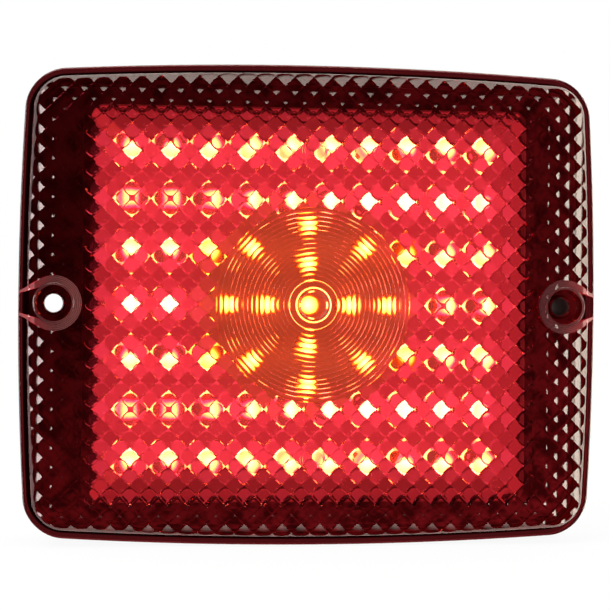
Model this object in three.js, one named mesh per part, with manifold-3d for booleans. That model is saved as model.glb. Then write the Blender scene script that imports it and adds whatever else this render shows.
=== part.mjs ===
// Rectangular LED trailer tail light, two-screw surface mount.
// Built in the lamp's own frame: x to the right, y up, z forward out of the lens, millimetres,
// with z = 0 on the rear of the mounting gasket. The group is turned at the end so that z is up
// and the lens looks along -y.
import * as THREE from "three";
import { mergeVertices } from "three/addons/utils/BufferGeometryUtils.js";
import Module from "manifold-3d";

const wasm = await Module();
wasm.setup();

// ---- Outline of the lamp
const LAMP_WIDTH = 147.6;
const LAMP_HEIGHT = 121.9;
const SIDE_BOW = 2; // how far the left and right edges bow out at their middles
const END_BOW = 2.6; // the same for the top and bottom edges
const CORNER_RADIUS = 9.3;

// ---- Heights along z
const GASKET_TOP = 2;
const HOUSING_BACK = 2.2;
const LEDGE_TOP = 18;
const LEDGE_THICKNESS = 2;
const LIP_TOP = 24; // the walls round the light window rise past the ledge, into the lens
const WELL_FLOOR = 6.6;
const BOARD_BACK = 13;
const BOARD_THICKNESS = 1.6;
const BOARD_FRONT = BOARD_BACK + BOARD_THICKNESS;
const SEAL_BACK = 18.2;
const SEAL_FRONT = 20.2;
const LENS_BACK = 20.4;
const RIM_TOP = 27;
const FACE_TOP = 32;
const FACE_INSIDE = 29.2;

// ---- Lens edge
const EDGE_ROUND = 0.4;
const RIM_WIDTH = 2.1;
const STEP_RISE = 2.9; // steep step from the rim towards the face

// ---- Lens optics
const FACET_SIDE = 3.373; // side of one square facet, set at 45 degrees
const FACET_RISE = 0.42; // height gained across one facet in each direction
const FRESNEL_RADIUS = 24.6;
const FRESNEL_RINGS = 10;
const FRESNEL_TOOTH = 0.7;
const FRESNEL_SEGMENTS = 30;
const BULLSEYE_RADIUS = 4.3;

// ---- Direction marks moulded on the lens
const MARK_Y = 39;
const MARK_RADIUS = 3.2;
const MARK_STROKE = 0.6;
const MARK_PROUD = 0.2;
const CHEVRON_START = 5.4;
const CHEVRON_RISE = 2.2;
const CHEVRON_STROKE = 1;

// ---- Mounting holes
const HOLE_SPACING = 130;
const HOLE_RADIUS = 2.4;
const BOSS_RADIUS = 6.85;
const RECESS_RADIUS = 4.5;
const TUBE_RADIUS = 5.2;
const WEB_BACK = 25;
const TIP_HALF_WIDTH = 3;
const LEG_WIDTH = 1.3;
const BOSS_SIDES = 24;
const TIP_SLOPE = 45; // degrees by which the pad falls to the lens edge
const LAND_TOP = 31.4;
const ABOVE = 40; // a height clear of everything, where cutting tools end
const COLUMN_RADIUS = 4.6;
const COLUMN_TOP = 24.7;
const SLEEVE_RADIUS = 3.1;

// ---- Inside the housing
const WELL_WIDTH = 111.6;
const WELL_HEIGHT = 100;
const WALL = 2;
const RIB = 1.6;
const BOARD_WIDTH = 110;
const BOARD_HEIGHT = 98.6;
const SCREW_X = 50.8;
const SCREW_Y = 46.4;
const PARTS_Y = 18; // the resistors and diodes stand in two lines behind the board
const LEAD = 0.6;

// ---- Light-emitting diodes
const LED_PITCH_X = 10.16;
const LED_PITCH_Y = 13.45;
const LED_RADIUS = 2.5;
const FLANGE_RADIUS = 2.9;
const LED_TOP = BOARD_FRONT + 8.3;
const RED_COLUMNS = [-4.5, -3.5, -2.5, -1.5, -0.5, 0.5, 1.5, 2.5, 3.5, 4.5];
const STAR_OUTER_RADIUS = 20;
const LED_SIDES = 7;

// ---- Cable
const CABLE_Y = -34;
const VENT_X = 38;
const JACKET_RADIUS = 3;
const JACKET_FRONT = 8.6;
const JACKET_BACK = -21;
const TAIL_BACK = -32;
const WIRE_RADIUS = 0.62;

const RING_CORNER_STEPS = 5;
const RING_EDGE_STEPS = 4;

// ---- Solids: every helper below returns a manifold-3d solid

function toSolid(geometry) {
  const bare = geometry.clone();
  bare.deleteAttribute("normal");
  bare.deleteAttribute("uv");
  const merged = mergeVertices(bare, 1e-4);
  return new wasm.Manifold(
    new wasm.Mesh({
      numProp: 3,
      vertProperties: new Float32Array(merged.attributes.position.array),
      triVerts: new Uint32Array(merged.index.array),
    }),
  );
}

function toGeometry(solid) {
  const mesh = solid.getMesh();
  const geometry = new THREE.BufferGeometry();
  geometry.setAttribute("position", new THREE.BufferAttribute(mesh.vertProperties, 3));
  geometry.setIndex(new THREE.BufferAttribute(mesh.triVerts, 1));
  return geometry;
}

function join(...solids) {
  return solids.reduce((whole, piece) => whole.add(piece));
}

function cut(solid, ...tools) {
  return tools.reduce((whole, tool) => whole.subtract(tool), solid);
}

function box(x, y, z, width, height, depth) {
  return toSolid(new THREE.BoxGeometry(width, height, depth).translate(x, y, z));
}

// A round bar along z between two heights.
function bar(x, y, radius, back, front, segments = 16) {
  const geometry = new THREE.CylinderGeometry(radius, radius, front - back, segments);
  geometry.rotateX(Math.PI / 2).translate(x, y, (back + front) / 2);
  return toSolid(geometry);
}

function lathe(profile, segments) {
  const points = profile.map(([radius, height]) => new THREE.Vector2(radius, height));
  return new THREE.LatheGeometry(points, segments);
}

// A turned piece about z, from [radius, height] pairs listed from the back to the front.
function turned(x, y, profile, segments = 16) {
  return toSolid(lathe(profile, segments).rotateX(Math.PI / 2).translate(x, y, 0));
}

function plate(shape, back, front, curveSegments = 4) {
  const settings = { depth: front - back, bevelEnabled: false, curveSegments };
  return toSolid(new THREE.ExtrudeGeometry(shape, settings).translate(0, 0, back));
}

function roundedRectangle(width, height, radius) {
  const x = width / 2;
  const y = height / 2;
  const shape = new THREE.Shape();
  shape.moveTo(x, -y + radius);
  shape.lineTo(x, y - radius);
  shape.quadraticCurveTo(x, y, x - radius, y);
  shape.lineTo(-x + radius, y);
  shape.quadraticCurveTo(-x, y, -x, y - radius);
  shape.lineTo(-x, -y + radius);
  shape.quadraticCurveTo(-x, -y, -x + radius, -y);
  shape.lineTo(x - radius, -y);
  shape.quadraticCurveTo(x, -y, x, -y + radius);
  return shape;
}

// Pushes a point of the straight-sided rectangle out to the bowed outline.
function bow(x, y) {
  const halfWidth = LAMP_WIDTH / 2 - SIDE_BOW;
  const halfHeight = LAMP_HEIGHT / 2 - END_BOW;
  const sideways = (SIDE_BOW / halfWidth) * (1 - (y / halfHeight) ** 2);
  const upwards = (END_BOW / halfHeight) * (1 - (x / halfWidth) ** 2);
  return [x * (1 + sideways), y * (1 + upwards)];
}

// One closed loop of the lamp's outline, moved in by inset, counter-clockwise seen from the front.
function outline(inset) {
  const radius = Math.max(CORNER_RADIUS - inset, 2);
  const halfWidth = LAMP_WIDTH / 2 - SIDE_BOW - inset;
  const halfHeight = LAMP_HEIGHT / 2 - END_BOW - inset;
  const straight = [];
  for (let corner = 0; corner < 4; corner++) {
    const right = corner === 0 || corner === 3 ? 1 : -1;
    const up = corner < 2 ? 1 : -1;
    for (let step = 0; step <= RING_CORNER_STEPS; step++) {
      const angle = (corner + step / RING_CORNER_STEPS) * (Math.PI / 2);
      straight.push([
        right * (halfWidth - radius) + radius * Math.cos(angle),
        up * (halfHeight - radius) + radius * Math.sin(angle),
      ]);
    }
  }
  return withEdgePoints(straight).map(([x, y]) => bow(x, y));
}

// Adds points along the long edges so that they can bow.
function withEdgePoints(corners) {
  const points = [];
  corners.forEach((point, i) => {
    const next = corners[(i + 1) % corners.length];
    points.push(point);
    if (i % (RING_CORNER_STEPS + 1) !== RING_CORNER_STEPS) return;
    for (let step = 1; step < RING_EDGE_STEPS; step++) {
      const t = step / RING_EDGE_STEPS;
      points.push([point[0] + (next[0] - point[0]) * t, point[1] + (next[1] - point[1]) * t]);
    }
  });
  return points;
}

// Skins the outline along [inset, height] pairs listed up the outside.
// Closed: the last loop meets the first, which makes a frame. Open: both ends are capped.
function skinned(profile, closed) {
  const loops = profile.map(([inset, height]) => outline(inset).map(([x, y]) => [x, y, height]));
  const count = loops[0].length;
  const vertices = loops.flat();
  const triangles = [];
  const spans = closed ? loops.length : loops.length - 1;
  for (let k = 0; k < spans; k++) {
    const low = k * count;
    const high = ((k + 1) % loops.length) * count;
    for (let i = 0; i < count; i++) {
      const j = (i + 1) % count;
      triangles.push(low + i, low + j, high + j, low + i, high + j, high + i);
    }
  }
  if (!closed) addCaps(vertices, triangles, profile, count);
  const geometry = new THREE.BufferGeometry();
  geometry.setAttribute("position", new THREE.Float32BufferAttribute(vertices.flat(), 3));
  geometry.setIndex(triangles);
  return toSolid(geometry);
}

function addCaps(vertices, triangles, profile, count) {
  const last = (profile.length - 1) * count;
  const back = vertices.push([0, 0, profile[0][1]]) - 1;
  const front = vertices.push([0, 0, profile[profile.length - 1][1]]) - 1;
  for (let i = 0; i < count; i++) {
    const j = (i + 1) % count;
    triangles.push(back, j, i, front, last + i, last + j);
  }
}

const frameOf = (profile) => skinned(profile, true);
const slabOf = (profile) => skinned(profile, false);
const leftAndRight = [-HOLE_SPACING / 2, HOLE_SPACING / 2];

// ---- Lens

// Square facets set at 45 degrees: their corners step up and down in a chequer pattern.
function facetBlock() {
  const reach = Math.ceil((LAMP_WIDTH + LAMP_HEIGHT) / 2 / Math.SQRT2 / FACET_SIDE);
  const side = 2 * reach + 1;
  const vertices = [];
  for (let i = -reach; i <= reach; i++) {
    for (let j = -reach; j <= reach; j++) {
      const x = ((i - j) * FACET_SIDE) / Math.SQRT2;
      const y = ((i + j) * FACET_SIDE) / Math.SQRT2;
      const drop = FACET_RISE * (Math.abs(i % 2) + Math.abs(j % 2));
      vertices.push([x, y, FACE_TOP - drop], [x, y, LENS_BACK]);
    }
  }
  const geometry = new THREE.BufferGeometry();
  geometry.setAttribute("position", new THREE.Float32BufferAttribute(vertices.flat(), 3));
  geometry.setIndex(blockTriangles(side));
  return toSolid(geometry);
}

// Faces of a square block whose front and back vertices alternate in a side x side grid.
function blockTriangles(side) {
  const triangles = [];
  const front = (i, j) => 2 * (i * side + j);
  const quad = (a, b, c, d) => triangles.push(a, b, c, a, c, d);
  for (let i = 0; i < side - 1; i++) {
    for (let j = 0; j < side - 1; j++) {
      const corners = [front(i, j), front(i + 1, j), front(i + 1, j + 1), front(i, j + 1)];
      quad(...corners);
      quad(...corners.map((corner) => corner + 1).reverse());
    }
  }
  for (let i = 0; i < side - 1; i++) {
    const edges = [
      [front(i, 0), front(i + 1, 0)],
      [front(side - 1, i), front(side - 1, i + 1)],
      [front(i + 1, side - 1), front(i, side - 1)],
      [front(0, i + 1), front(0, i)],
    ];
    edges.forEach(([a, b]) => quad(b, a, a + 1, b + 1));
  }
  return triangles;
}

// Concentric prism rings around a plain domed bullseye.
function fresnelDisc() {
  const base = FACE_TOP - 0.9;
  const profile = [[0, FACE_INSIDE - 1], [FRESNEL_RADIUS, FACE_INSIDE - 1], [FRESNEL_RADIUS, base]];
  const pitch = (FRESNEL_RADIUS - BULLSEYE_RADIUS) / FRESNEL_RINGS;
  for (let ring = FRESNEL_RINGS; ring > 0; ring--) {
    const inner = BULLSEYE_RADIUS + (ring - 1) * pitch;
    profile.push([inner + 0.1, base + FRESNEL_TOOTH], [inner, base]);
  }
  profile.push([BULLSEYE_RADIUS * 0.7, base + 0.35], [BULLSEYE_RADIUS * 0.35, base + 0.6]);
  profile.push([0, base + 0.7]);
  return turned(0, 0, profile, FRESNEL_SEGMENTS);
}

// The screw boss pad: a round land drawn out to the lens edge, like a teardrop.
function teardrop(x, radius, tipHalfWidth, reach) {
  const side = Math.sign(x);
  const start = Math.PI * 0.32;
  const shape = new THREE.Shape();
  shape.moveTo(x + side * reach, tipHalfWidth);
  for (let step = 0; step <= 20; step++) {
    const angle = start + (step / 20) * (2 * Math.PI - 2 * start);
    shape.lineTo(x + side * radius * Math.cos(angle), radius * Math.sin(angle));
  }
  shape.lineTo(x + side * reach, -tipHalfWidth);
  return shape;
}

function lensBoss(x) {
  const side = Math.sign(x);
  const edge = LAMP_WIDTH / 2 - Math.abs(x);
  const pad = teardrop(x, BOSS_RADIUS, TIP_HALF_WIDTH, edge - 0.2);
  const inner = teardrop(x, BOSS_RADIUS - LEG_WIDTH, TIP_HALF_WIDTH - LEG_WIDTH / 2, edge + 1);
  const land = cut(plate(pad, WEB_BACK, LAND_TOP), tipFall(x, side));
  const outwards = box(x + side * 13.5, 0, FACE_TOP, 20, 30, 20);
  const tube = bar(x, 0, TUBE_RADIUS, WEB_BACK, FACE_TOP - 0.2, BOSS_SIDES);
  const core = bar(x, 0, TUBE_RADIUS, 20, ABOVE, BOSS_SIDES);
  const hollow = cut(plate(inner, RIM_TOP, ABOVE).intersect(outwards), core);
  return { solid: join(land, tube), hollow };
}

// What the sloping end of the boss pad is cut away by.
function tipFall(x, side) {
  const block = new THREE.BoxGeometry(12, 20, 10).translate(side * 6, 0, 5);
  block.rotateY(side * THREE.MathUtils.degToRad(TIP_SLOPE));
  return toSolid(block.translate(x + side * BOSS_RADIUS * 0.67, 0, LAND_TOP));
}

// Plain direction marks standing on the facets: a ring with a chevron beyond it.
function directionMark(up) {
  const top = FACE_TOP + MARK_PROUD;
  const ring = bar(0, up * MARK_Y, MARK_RADIUS, FACE_INSIDE, top, 14);
  const bore = bar(0, up * MARK_Y, MARK_RADIUS - MARK_STROKE, FACE_TOP - 1.5, ABOVE, 14);
  const foot = MARK_Y + CHEVRON_START;
  const chevron = new THREE.Shape();
  chevron.moveTo(-MARK_RADIUS, up * foot);
  chevron.lineTo(0, up * (foot + CHEVRON_RISE));
  chevron.lineTo(MARK_RADIUS, up * foot);
  chevron.lineTo(MARK_RADIUS, up * (foot + CHEVRON_STROKE));
  chevron.lineTo(0, up * (foot + CHEVRON_RISE + CHEVRON_STROKE));
  chevron.lineTo(-MARK_RADIUS, up * (foot + CHEVRON_STROKE));
  return join(cut(ring, bore), plate(chevron, FACE_INSIDE, top));
}

function lens() {
  const outside = slabOf([
    [0, LENS_BACK],
    [0, RIM_TOP - EDGE_ROUND],
    [EDGE_ROUND, RIM_TOP],
    [RIM_WIDTH, RIM_TOP],
    [RIM_WIDTH + 0.3, RIM_TOP + STEP_RISE],
    [RIM_WIDTH + 2, FACE_TOP + 0.1],
  ]);
  const inside = slabOf([
    [RIM_WIDTH + 0.5, LENS_BACK - 1],
    [RIM_WIDTH + 0.5, RIM_TOP - STEP_RISE + 0.7],
    [RIM_WIDTH + 3.1, FACE_INSIDE - 0.6],
    [RIM_WIDTH + 5.3, FACE_INSIDE],
  ]);
  const disc = bar(0, 0, FRESNEL_RADIUS, FACE_INSIDE - 0.5, FACE_TOP + 1, FRESNEL_SEGMENTS);
  const bosses = leftAndRight.map(lensBoss);
  const shell = cut(outside.intersect(facetBlock()), inside, disc);
  return cut(
    join(
      shell,
      cut(fresnelDisc(), box(0, 0, FACE_INSIDE - 1, 60, 60, 2)),
      directionMark(1),
      directionMark(-1),
      ...bosses.map((boss) => boss.solid),
    ),
    ...bosses.map((boss) => boss.hollow),
    ...leftAndRight.map((x) => bar(x, 0, RECESS_RADIUS, RIM_TOP, ABOVE, BOSS_SIDES)),
    ...leftAndRight.map((x) => bar(x, 0, HOLE_RADIUS, 20, ABOVE, 20)),
  );
}

// ---- Housing and seals

function housingShell() {
  const skirt = slabOf([[1.6, HOUSING_BACK], [0.7, LEDGE_TOP]]);
  const hollow = slabOf([[3.8, HOUSING_BACK - 1], [2.9, LEDGE_TOP - LEDGE_THICKNESS]]);
  const foot = frameOf([[1.6, HOUSING_BACK], [1.6, 4.2], [6, 4.2], [6, HOUSING_BACK]]);
  const tongue = frameOf([[3.2, LEDGE_TOP - 0.5], [3.2, 21], [4.4, 21], [4.4, LEDGE_TOP - 0.5]]);
  const wellOutside = roundedRectangle(WELL_WIDTH + 2 * WALL, WELL_HEIGHT + 2 * WALL, 5);
  const wellInside = roundedRectangle(WELL_WIDTH, WELL_HEIGHT, 3);
  return cut(
    join(cut(skirt, hollow), foot, tongue, plate(wellOutside, WELL_FLOOR - WALL, LIP_TOP)),
    plate(wellInside, WELL_FLOOR, ABOVE),
  );
}

function housingRibs() {
  const middle = (HOUSING_BACK + LEDGE_TOP) / 2;
  const depth = LEDGE_TOP - HOUSING_BACK - 3;
  const endRib = (WELL_HEIGHT + LAMP_HEIGHT) / 4;
  const sideRib = (WELL_WIDTH + LAMP_WIDTH) / 4 - 1;
  const ribs = [];
  for (const x of [-42, -14, 14, 42]) {
    for (const up of [-1, 1]) ribs.push(box(x, up * endRib, middle, RIB, 6, depth));
  }
  for (const y of [-34, 34]) {
    for (const side of [-1, 1]) ribs.push(box(side * sideRib, y, middle, 14, RIB, depth));
  }
  return ribs;
}

const screwSpots = [-1, 1].flatMap((side) => [-1, 1].map((up) => [side * SCREW_X, up * SCREW_Y]));

function housing() {
  const columns = leftAndRight.map((x) => bar(x, 0, COLUMN_RADIUS, HOUSING_BACK, COLUMN_TOP));
  const posts = screwSpots.map(([x, y]) => bar(x, y, 3.1, WELL_FLOOR - 1, BOARD_BACK - 0.1, 12));
  return cut(
    join(housingShell(), ...housingRibs(), ...columns, ...posts),
    ...leftAndRight.map((x) => bar(x, 0, SLEEVE_RADIUS + 0.2, 0, 30)),
    ...screwSpots.map(([x, y]) => bar(x, y, 1.4, 7.6, 20, 10)),
    bar(0, CABLE_Y, 4.6, 0, 10, 20),
    bar(VENT_X, CABLE_Y, 2.6, 0, 10, 16),
  );
}

function mountingGasket() {
  const ring = frameOf([[0.9, 0], [0.9, GASKET_TOP], [6.5, GASKET_TOP], [6.5, 0]]);
  const pads = leftAndRight.map((x) => bar(x, 0, 6.4, 0, GASKET_TOP));
  const holes = leftAndRight.map((x) => bar(x, 0, SLEEVE_RADIUS + 0.3, -1, 5));
  return cut(join(ring, ...pads), ...holes);
}

function lensGasket() {
  return frameOf([[0.9, SEAL_BACK], [0.9, SEAL_FRONT], [2.5, SEAL_FRONT], [2.5, SEAL_BACK]]);
}

function mountingSleeve(x) {
  const inner = HOLE_RADIUS;
  const profile = [
    [inner, 0.4],
    [SLEEVE_RADIUS, 0.4],
    [SLEEVE_RADIUS, 24.8],
    [inner, 24.8],
    [inner, 0.4],
  ];
  return turned(x, 0, profile);
}

function ventPlug() {
  const profile = [[0, 3.2], [2.2, 3.2], [2.4, 6.8], [3.6, 6.9], [3.6, 7.9], [0, 8.2]];
  return turned(VENT_X, CABLE_Y, profile, 16);
}

// ---- Circuit board and what stands on it

function circuitBoard() {
  const board = plate(roundedRectangle(BOARD_WIDTH, BOARD_HEIGHT, 3), BOARD_BACK, BOARD_FRONT, 3);
  const holes = screwSpots.map(([x, y]) => bar(x, y, 1.7, 10, 20, 10));
  return cut(board, ...holes);
}

function boardScrew([x, y]) {
  const head = BOARD_FRONT + 0.15;
  const profile = [[0, 8], [0.9, 8.6], [1.25, 9.4], [1.25, head], [2.6, head], [2.6, head + 1]];
  profile.push([1.8, head + 1.7], [0, head + 1.9]);
  const slot = box(x, y, head + 1.7, 3.6, 0.6, 0.9);
  return cut(turned(x, y, profile, 8), slot);
}

function led(x, y) {
  const seat = BOARD_FRONT + 0.15;
  return turned(x, y, [
    [0, seat],
    [FLANGE_RADIUS, seat],
    [FLANGE_RADIUS, seat + 1],
    [LED_RADIUS, seat + 1.1],
    [LED_RADIUS, LED_TOP - 2.3],
    [LED_RADIUS * 0.75, LED_TOP - 0.7],
    [0, LED_TOP],
  ], LED_SIDES);
}

// Several diodes soldered along one copper track.
function ledRow(columns, row) {
  const y = row * LED_PITCH_Y;
  const from = columns[0] * LED_PITCH_X;
  const to = columns[columns.length - 1] * LED_PITCH_X;
  const track = box((from + to) / 2, y, BOARD_FRONT + 0.25, to - from, 1.2, 0.3);
  return join(track, ...columns.map((column) => led(column * LED_PITCH_X, y)));
}

// An axial part lying along x behind the board, on two bent leads.
function axialPart(x, y, length, radius) {
  const height = BOARD_BACK - radius - 0.7;
  const half = length / 2;
  const body = lathe([
    [0, -half],
    [radius * 0.8, -half],
    [radius, -half * 0.7],
    [radius, half * 0.7],
    [radius * 0.8, half],
    [0, half],
  ], 10);
  const lead = box(x, y, height, length + 3, LEAD, LEAD);
  const legTop = BOARD_BACK - 0.15;
  const legs = [-1, 1].map((side) => {
    const across = x + side * (half + 1.2);
    return box(across, y, (height + legTop) / 2, LEAD, LEAD, legTop - height);
  });
  return join(toSolid(body.rotateZ(-Math.PI / 2).translate(x, y, height)), lead, ...legs);
}

function capacitor() {
  return turned(-VENT_X, CABLE_Y, [
    [0, 7.2],
    [2.9, 7.2],
    [3.15, 7.5],
    [3.15, 11.4],
    [2.9, 11.8],
    [3.15, 12.2],
    [3.15, 12.8],
    [0, 12.8],
  ], 16);
}

// ---- Cable

function cableJacket() {
  const bore = JACKET_RADIUS - 0.8;
  return turned(0, CABLE_Y, [
    [bore, JACKET_BACK],
    [JACKET_RADIUS, JACKET_BACK],
    [JACKET_RADIUS, JACKET_FRONT],
    [bore, JACKET_FRONT],
    [bore, JACKET_BACK],
  ], 16);
}

function wireGrommet() {
  return turned(0, CABLE_Y, [
    [JACKET_RADIUS + 0.15, 3.1],
    [5.4, 3.1],
    [6, 3.6],
    [6, 4.4],
    [4.4, 4.45],
    [4.4, 6.8],
    [6, 6.85],
    [6, 7.6],
    [4.6, 8.3],
    [JACKET_RADIUS + 0.15, 8.3],
    [JACKET_RADIUS + 0.15, 3.1],
  ], 20);
}

// One insulated core: from the board, through the jacket, out to a spread tail.
function wire(side, up) {
  const path = new THREE.CatmullRomCurve3([
    new THREE.Vector3(side * 4.5, CABLE_Y + up * 3, BOARD_BACK - 0.7),
    new THREE.Vector3(side * 2.2, CABLE_Y + up * 1.6, 11),
    new THREE.Vector3(side * 0.85, CABLE_Y + up * 0.85, JACKET_FRONT - 1),
    new THREE.Vector3(side * 0.85, CABLE_Y + up * 0.85, -8),
    new THREE.Vector3(side * 0.85, CABLE_Y + up * 0.85, JACKET_BACK + 1),
    new THREE.Vector3(side * 1.9, CABLE_Y + up * 1.8, JACKET_BACK - 5),
    new THREE.Vector3(side * 4.5, CABLE_Y + up * 4, TAIL_BACK),
  ]);
  const section = new THREE.Shape();
  section.absarc(0, 0, WIRE_RADIUS, 0, Math.PI * 2);
  const settings = { steps: 12, extrudePath: path, curveSegments: 3, bevelEnabled: false };
  return toSolid(new THREE.ExtrudeGeometry(section, settings));
}

// ---- Assembly

const group = new THREE.Group();
group.name = "trailer_tail_light";
group.rotation.x = Math.PI / 2;

function add(name, solid, colour, settings = {}) {
  const material = new THREE.MeshStandardMaterial({ color: colour, roughness: 0.4, ...settings });
  material.name = `${name}_material`;
  const mesh = new THREE.Mesh(toGeometry(solid), material);
  mesh.name = name;
  group.add(mesh);
}

const RED = 0xc01020;
const AMBER = 0xff9a10;
const STEEL = { metalness: 1, roughness: 0.35 };

add("lens", lens(), 0x9a0c14, { transparent: true, opacity: 0.5, roughness: 0.1 });
add("lens_gasket", lensGasket(), 0x1b1b1b);
add("housing", housing(), 0x161616);
add("mounting_gasket", mountingGasket(), 0x242424, { roughness: 0.9 });
add("circuit_board", circuitBoard(), 0xd8d4cc);
screwSpots.forEach((spot, i) => add(`board_screw_${i + 1}`, boardScrew(spot), 0xb8b8b8, STEEL));
add("mounting_sleeve_left", mountingSleeve(-HOLE_SPACING / 2), 0xc8c8c8, STEEL);
add("mounting_sleeve_right", mountingSleeve(HOLE_SPACING / 2), 0xc8c8c8, STEEL);
add("vent_plug", ventPlug(), 0x303030);

for (const [name, row] of [["1", 3], ["2", 2], ["6", -2], ["7", -3]]) {
  add(`red_led_row_${name}`, ledRow(RED_COLUMNS, row), RED);
}
for (const [name, row] of [["3", 1], ["4", 0], ["5", -1]]) {
  add(`red_led_row_${name}_left`, ledRow([-4.5, -3.5], row), RED);
  add(`red_led_row_${name}_right`, ledRow([3.5, 4.5], row), RED);
}

add("amber_led_centre", led(0, 0), AMBER);
["right", "top", "left", "bottom"].forEach((name, quarter) => {
  const angle = (quarter * Math.PI) / 2;
  const x = LED_PITCH_X * Math.cos(angle);
  const y = LED_PITCH_X * Math.sin(angle);
  add(`amber_led_inner_${name}`, led(x, y), AMBER);
});
for (let arm = 0; arm < 8; arm++) {
  const angle = (arm * Math.PI) / 4;
  const x = STAR_OUTER_RADIUS * Math.cos(angle);
  const y = STAR_OUTER_RADIUS * Math.sin(angle);
  add(`amber_led_outer_${arm + 1}`, led(x, y), AMBER);
}
[[-1, 1], [1, 1], [-1, -1], [1, -1]].forEach(([side, up], i) => {
  add(`amber_led_corner_${i + 1}`, led(side * 2.5 * LED_PITCH_X, up * LED_PITCH_Y), AMBER);
});

[-3, 0, 3].forEach((column, i) => {
  const x = column * LED_PITCH_X;
  add(`resistor_upper_${i + 1}`, axialPart(x, PARTS_Y, 6.2, 1.15), 0xc9a57a);
  add(`resistor_lower_${i + 1}`, axialPart(x, -PARTS_Y, 6.2, 1.15), 0xc9a57a);
});
add("diode_upper", axialPart(1.5 * LED_PITCH_X, PARTS_Y, 4.6, 1.3), 0x181818);
add("diode_lower", axialPart(1.5 * LED_PITCH_X, -PARTS_Y, 4.6, 1.3), 0x181818);
add("capacitor", capacitor(), 0x20242c);

add("cable_jacket", cableJacket(), 0x141414);
add("wire_grommet", wireGrommet(), 0x1a1a1a);
add("wire_ground", wire(-1, -1), 0xe8e8e4);
add("wire_tail", wire(1, -1), 0x5a3418);
add("wire_stop", wire(1, 1), 0xb01818);
add("wire_turn", wire(-1, 1), 0xd0b018);

export default group;
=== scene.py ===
import math

import bpy
import numpy as np
from mathutils import Matrix, Vector


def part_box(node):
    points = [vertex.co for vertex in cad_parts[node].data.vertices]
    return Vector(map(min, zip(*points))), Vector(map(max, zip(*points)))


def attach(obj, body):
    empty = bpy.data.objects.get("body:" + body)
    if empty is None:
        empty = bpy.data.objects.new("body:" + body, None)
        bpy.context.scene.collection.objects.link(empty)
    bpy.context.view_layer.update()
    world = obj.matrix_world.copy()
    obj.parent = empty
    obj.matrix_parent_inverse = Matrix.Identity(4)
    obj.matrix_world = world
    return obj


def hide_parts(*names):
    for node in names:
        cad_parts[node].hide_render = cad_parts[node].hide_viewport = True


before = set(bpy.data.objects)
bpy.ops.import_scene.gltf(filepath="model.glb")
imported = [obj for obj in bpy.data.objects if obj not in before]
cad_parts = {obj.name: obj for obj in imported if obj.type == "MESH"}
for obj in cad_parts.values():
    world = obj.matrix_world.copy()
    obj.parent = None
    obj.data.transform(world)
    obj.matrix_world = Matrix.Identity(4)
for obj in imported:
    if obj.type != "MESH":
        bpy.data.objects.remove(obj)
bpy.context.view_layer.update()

# Meshes are written in lamp coordinates, in millimetres: x to the right, y up, z forward out of the
# lens with zero on the mounting face. MM turns them into the frame's metres.
MM = 0.001
SQRT2 = math.sqrt(2)

# ---- Measures taken from the frame


def lamp_box(node):
    """Lowest and highest corner of a CAD node in lamp coordinates."""
    low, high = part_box(node)
    return (
        np.array((low.x, low.z, -high.y)) / MM,
        np.array((high.x, high.z, -low.y)) / MM,
    )


LENS_LOW, LENS_HIGH = lamp_box("lens")
HALF_WIDTH, HALF_HEIGHT = LENS_HIGH[:2]
LENS_BACK = LENS_LOW[2]
BOARD_LOW, BOARD_HIGH = lamp_box("circuit_board")
BOARD_BACK, BOARD_FRONT = BOARD_LOW[2], BOARD_HIGH[2]
CABLE_Y = sum(corner[1] for corner in lamp_box("cable_jacket")) / 2
VENT_X = lamp_box("vent_plug")[0][0] + 3.6

# ---- Lens shape
HOLE_X = 65.0
FACE_TOP = 32.0
SIDE_BOW = 2.0
END_BOW = 2.6
CORNER_RADIUS = 9.3
RIM_TOP = 27.0
RIM_WIDTH = 2.1
FACE_INSIDE = 29.2
FACET_SIDE = 3.39
LATTICE_X = -0.3  # the facets sit a little to the left of the lamp's middle
OUTER_DIMPLE_RADIUS = 7.5
INNER_PILLOW_RADIUS = 4.0
OUTER_PILLOW_SHARE = 0.3  # height of the pillows beyond the window, against those over it
ROUNDINGS = ((16.0, 0.0155), (6.5, 0.045))  # width of the rounded border, curvature per mm
PILLOW_HALF_WIDTH = 55.9
PILLOW_HALF_HEIGHT = 49.0
FRESNEL_RADIUS = 24.6
FRESNEL_RINGS = 16
BULLSEYE_RADIUS = 6.4
RAISED_RINGS = ((6.1, 0.16, 0.18), (3.9, 0.65, 0.46))  # middle, half the width, height
DOME_RADIUS = 2.1  # the low dome in the very middle
BOSS_RADIUS = 6.85
LEG_WIDTH = 1.9
TIP_HALF_WIDTH = 3.0
TEARDROP_START = math.pi * 0.32  # where the legs leave the round pad
RECESS_RADIUS = 4.5
TUBE_RADIUS = 5.2
HOLE_RADIUS = 2.4
WEB_BACK = 25.0
LAND_TOP = 31.4
ABOVE = 45.0  # a height clear of everything, where cutting tools end
MARK_Y = 39.0
MARK_RADIUS = 3.2

# ---- Diodes
LED_RADIUS = 2.5
FLANGE_RADIUS = 2.9
LED_PITCH = 10.16
ROW_PITCH = 13.45
BOARD_GLOW = 0.94
STAR_RADIUS = 22.0  # behind the ring lens the board is lit yellow out to here
TRACK_HALF_WIDTH = 0.13  # half of a copper track, as a share of the row pitch

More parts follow.
